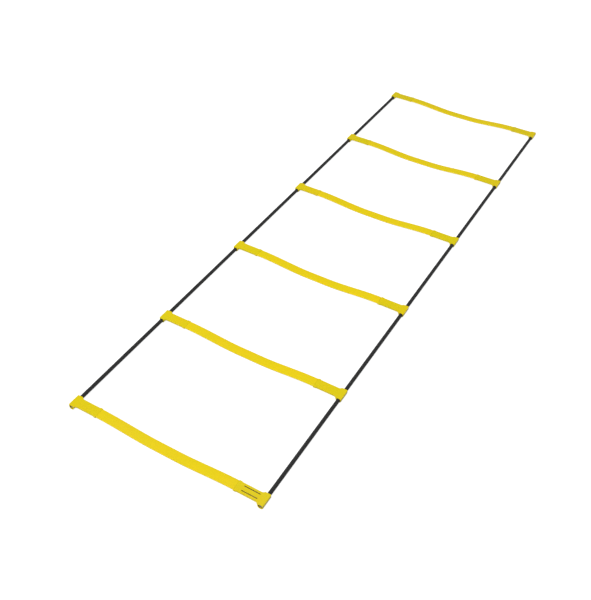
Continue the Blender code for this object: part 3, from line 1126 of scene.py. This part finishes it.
class LADDER_OT_slats(bpy.types.Operator):
    """Model the six bowed slats"""

    bl_idname = "ladder.slats"
    bl_label = "Slats"

    def execute(self, context):
        finish = satin_plastic("satin_slat_yellow", settings().finish.slat_colour, SLAT_ROUGHNESS)
        model = smooth(model_slat(), finish)
        for number in range(1, RUNG_COUNT + 1):
            at = (0, rung_place(number), CORD_HEIGHT)
            piece = placed_copy(model, f"slat_{number}", at)
            if number == 1:
                self.cut_slots(piece, at, finish)
            dress(piece, f"rung_{number}_slat", rung_body(number))
        discard(model)
        return {"FINISHED"}

    def cut_slots(self, piece, at, finish):
        """The strap slots go on through the tongue in the slotted end piece."""
        for across in slot_places():
            model = slot_tool(across)
            tool = placed_copy(model, "tongue_slot", (CORD_X["right"], at[1], CORD_HEIGHT), pi)
            discard(model)
            carve(piece, tool)
        smooth(piece, finish)


class LADDER_OT_end_pieces(bpy.types.Operator):
    """Model the twelve moulded end pieces"""

    bl_idname = "ladder.end_pieces"
    bl_label = "End Pieces"

    def execute(self, context):
        colour = settings().finish.end_piece_colour
        finish = satin_plastic("satin_end_piece_yellow", colour, END_PIECE_ROUGHNESS)
        plain = model_end_piece("plain_model")
        near_stop = model_end_piece("near_stop_model", -1)
        far_stop = model_end_piece("far_stop_model", 1)
        slotted = model_end_piece("slotted_model", 1, slotted=True)
        models = (plain, near_stop, far_stop, slotted)
        for model in models:
            smooth(model, finish)
        # A right end piece is turned about, and its stop with it
        of_end_rungs = {
            (1, "left"): near_stop,
            (1, "right"): slotted,
            (RUNG_COUNT, "left"): far_stop,
            (RUNG_COUNT, "right"): near_stop,
        }
        for number in range(1, RUNG_COUNT + 1):
            for side, x in CORD_X.items():
                model = of_end_rungs.get((number, side), plain)
                at = (x, rung_place(number), CORD_HEIGHT)
                turn = pi if side == "right" else 0
                piece = placed_copy(model, f"end_piece_{number}_{side}", at, turn)
                node_name = f"rung_{number}_{side}_end_piece"
                dress(piece, node_name, rung_body(number))
        for model in models:
            discard(model)
        return {"FINISHED"}


class LADDER_OT_cord_stops(bpy.types.Operator):
    """Model the four crimped cord stops"""

    bl_idname = "ladder.cord_stops"
    bl_label = "Cord Stops"

    def execute(self, context):
        finish = zinc_plated_steel("zinc_plated_stop_steel", settings().finish.stop_colour)
        model = smooth(model_stop(), finish)
        for side, x in CORD_X.items():
            for end, sign in (("near", -1), ("far", 1)):
                at = (x, sign * STOP_FACE, CORD_HEIGHT)
                piece = placed_copy(model, f"crimped_stop_{side}_{end}", at, 0 if sign > 0 else pi)
                dress(piece, f"{side}_cord_stop_{end}", "root")
        discard(model)
        return {"FINISHED"}


class LADDER_OT_stage(bpy.types.Operator):
    """Set up the pale floor, the soft light and the camera"""

    bl_idname = "ladder.stage"
    bl_label = "Stage"

    def execute(self, context):
        self.add_floor()
        self.add_light()
        self.add_camera()
        return {"FINISHED"}

    def add_floor(self):
        select_only()
        bpy.ops.mesh.primitive_plane_add(size=FLOOR_SIZE)
        floor = named("studio_floor")
        # The floor's glow keeps it white, and mustn't light the ladder from below
        floor.visible_diffuse = False
        finish = studio_floor("pale_floor", settings().finish.floor_colour, settings().stage.glow)
        floor.data.materials.append(finish)

    def add_light(self):
        stage = settings().stage
        world = bpy.data.worlds.new("even_light")
        bpy.context.scene.world = world
        bpy.context.scene.view_settings.view_transform = "Standard"
        world.use_nodes = True
        tree = world.node_tree
        seen = tree.nodes.new("ShaderNodeLightPath").outputs["Is Camera Ray"]
        strength = spread(tree, seen, 0, 1, least=stage.sky)
        feed_inputs(tree.nodes["Background"], Color=WHITE, Strength=strength)
        softbox = self.add_lamp("AREA", "overhead_softbox", stage.softbox_place, stage.softbox_power)
        softbox.shape = "RECTANGLE"
        softbox.size, softbox.size_y = stage.softbox_size
        front = self.add_lamp("SUN", "front_light", stage.front_way, stage.front_power)
        front.angle = stage.front_spread

    def add_lamp(self, kind, name, place, power):
        """Adds a lamp that shines from its place to the origin, and returns its settings."""
        bpy.ops.object.light_add(type=kind, location=place)
        lamp = bpy.context.active_object
        lamp.name = name
        lamp.rotation_euler = (-Vector(place)).to_track_quat("-Z", "Y").to_euler()
        lamp.data.energy = power
        return lamp.data

    def add_camera(self):
        stage = settings().stage
        level = Vector((sin(stage.azimuth), -cos(stage.azimuth), 0)) * cos(stage.elevation)
        away = level + Vector((0, 0, sin(stage.elevation)))
        bpy.ops.object.camera_add(location=Vector(stage.aim) + away * stage.distance)
        camera = bpy.context.active_object
        camera.name = "photo_camera"
        upright = away.to_track_quat("Z", "Y").to_matrix()
        camera.rotation_euler = (upright @ Matrix.Rotation(stage.roll, 3, "Z")).to_euler()
        camera.data.lens = stage.lens
        camera.data.sensor_width = IMAGE_LONG_SIDE_MM
        bpy.context.scene.camera = camera


class LADDER_PT_pieces(bpy.types.Panel):
    """The ladder's pieces and their sizes, in the sidebar"""

    bl_idname = "LADDER_PT_pieces"
    bl_label = "Agility Ladder"
    bl_space_type = "VIEW_3D"
    bl_region_type = "UI"
    bl_category = "Ladder"

    def draw(self, context):
        for operator, group in BUILD_STEPS:
            box = self.layout.box()
            box.operator(operator.bl_idname)
            sizes = getattr(settings(), group)
            for name in sizes.__annotations__:
                box.prop(sizes, name)
        box = self.layout.box()
        for name in settings().finish.__annotations__:
            box.prop(settings().finish, name)


BUILD_STEPS = (
    (LADDER_OT_stage, "stage"),
    (LADDER_OT_side_cords, "cord"),
    (LADDER_OT_slats, "slat"),
    (LADDER_OT_end_pieces, "end_piece"),
    (LADDER_OT_cord_stops, "stop"),
)
OPERATORS = [operator for operator, _ in BUILD_STEPS]
GROUPS = (LadderSlat, LadderEndPiece, LadderCord, LadderStop, LadderFinish, LadderStage, LadderSettings)
register_all, unregister_all = bpy.utils.register_classes_factory((*GROUPS, *OPERATORS, LADDER_PT_pieces))


def register():
    register_all()
    bpy.types.Scene.ladder = PointerProperty(type=LadderSettings)


def unregister():
    del bpy.types.Scene.ladder
    unregister_all()


def main():
    register()
    bpy.ops.ladder.stage()
    bpy.ops.ladder.side_cords()
    bpy.ops.ladder.slats()
    bpy.ops.ladder.end_pieces()
    bpy.ops.ladder.cord_stops()


if __name__ == "__main__":
    main()
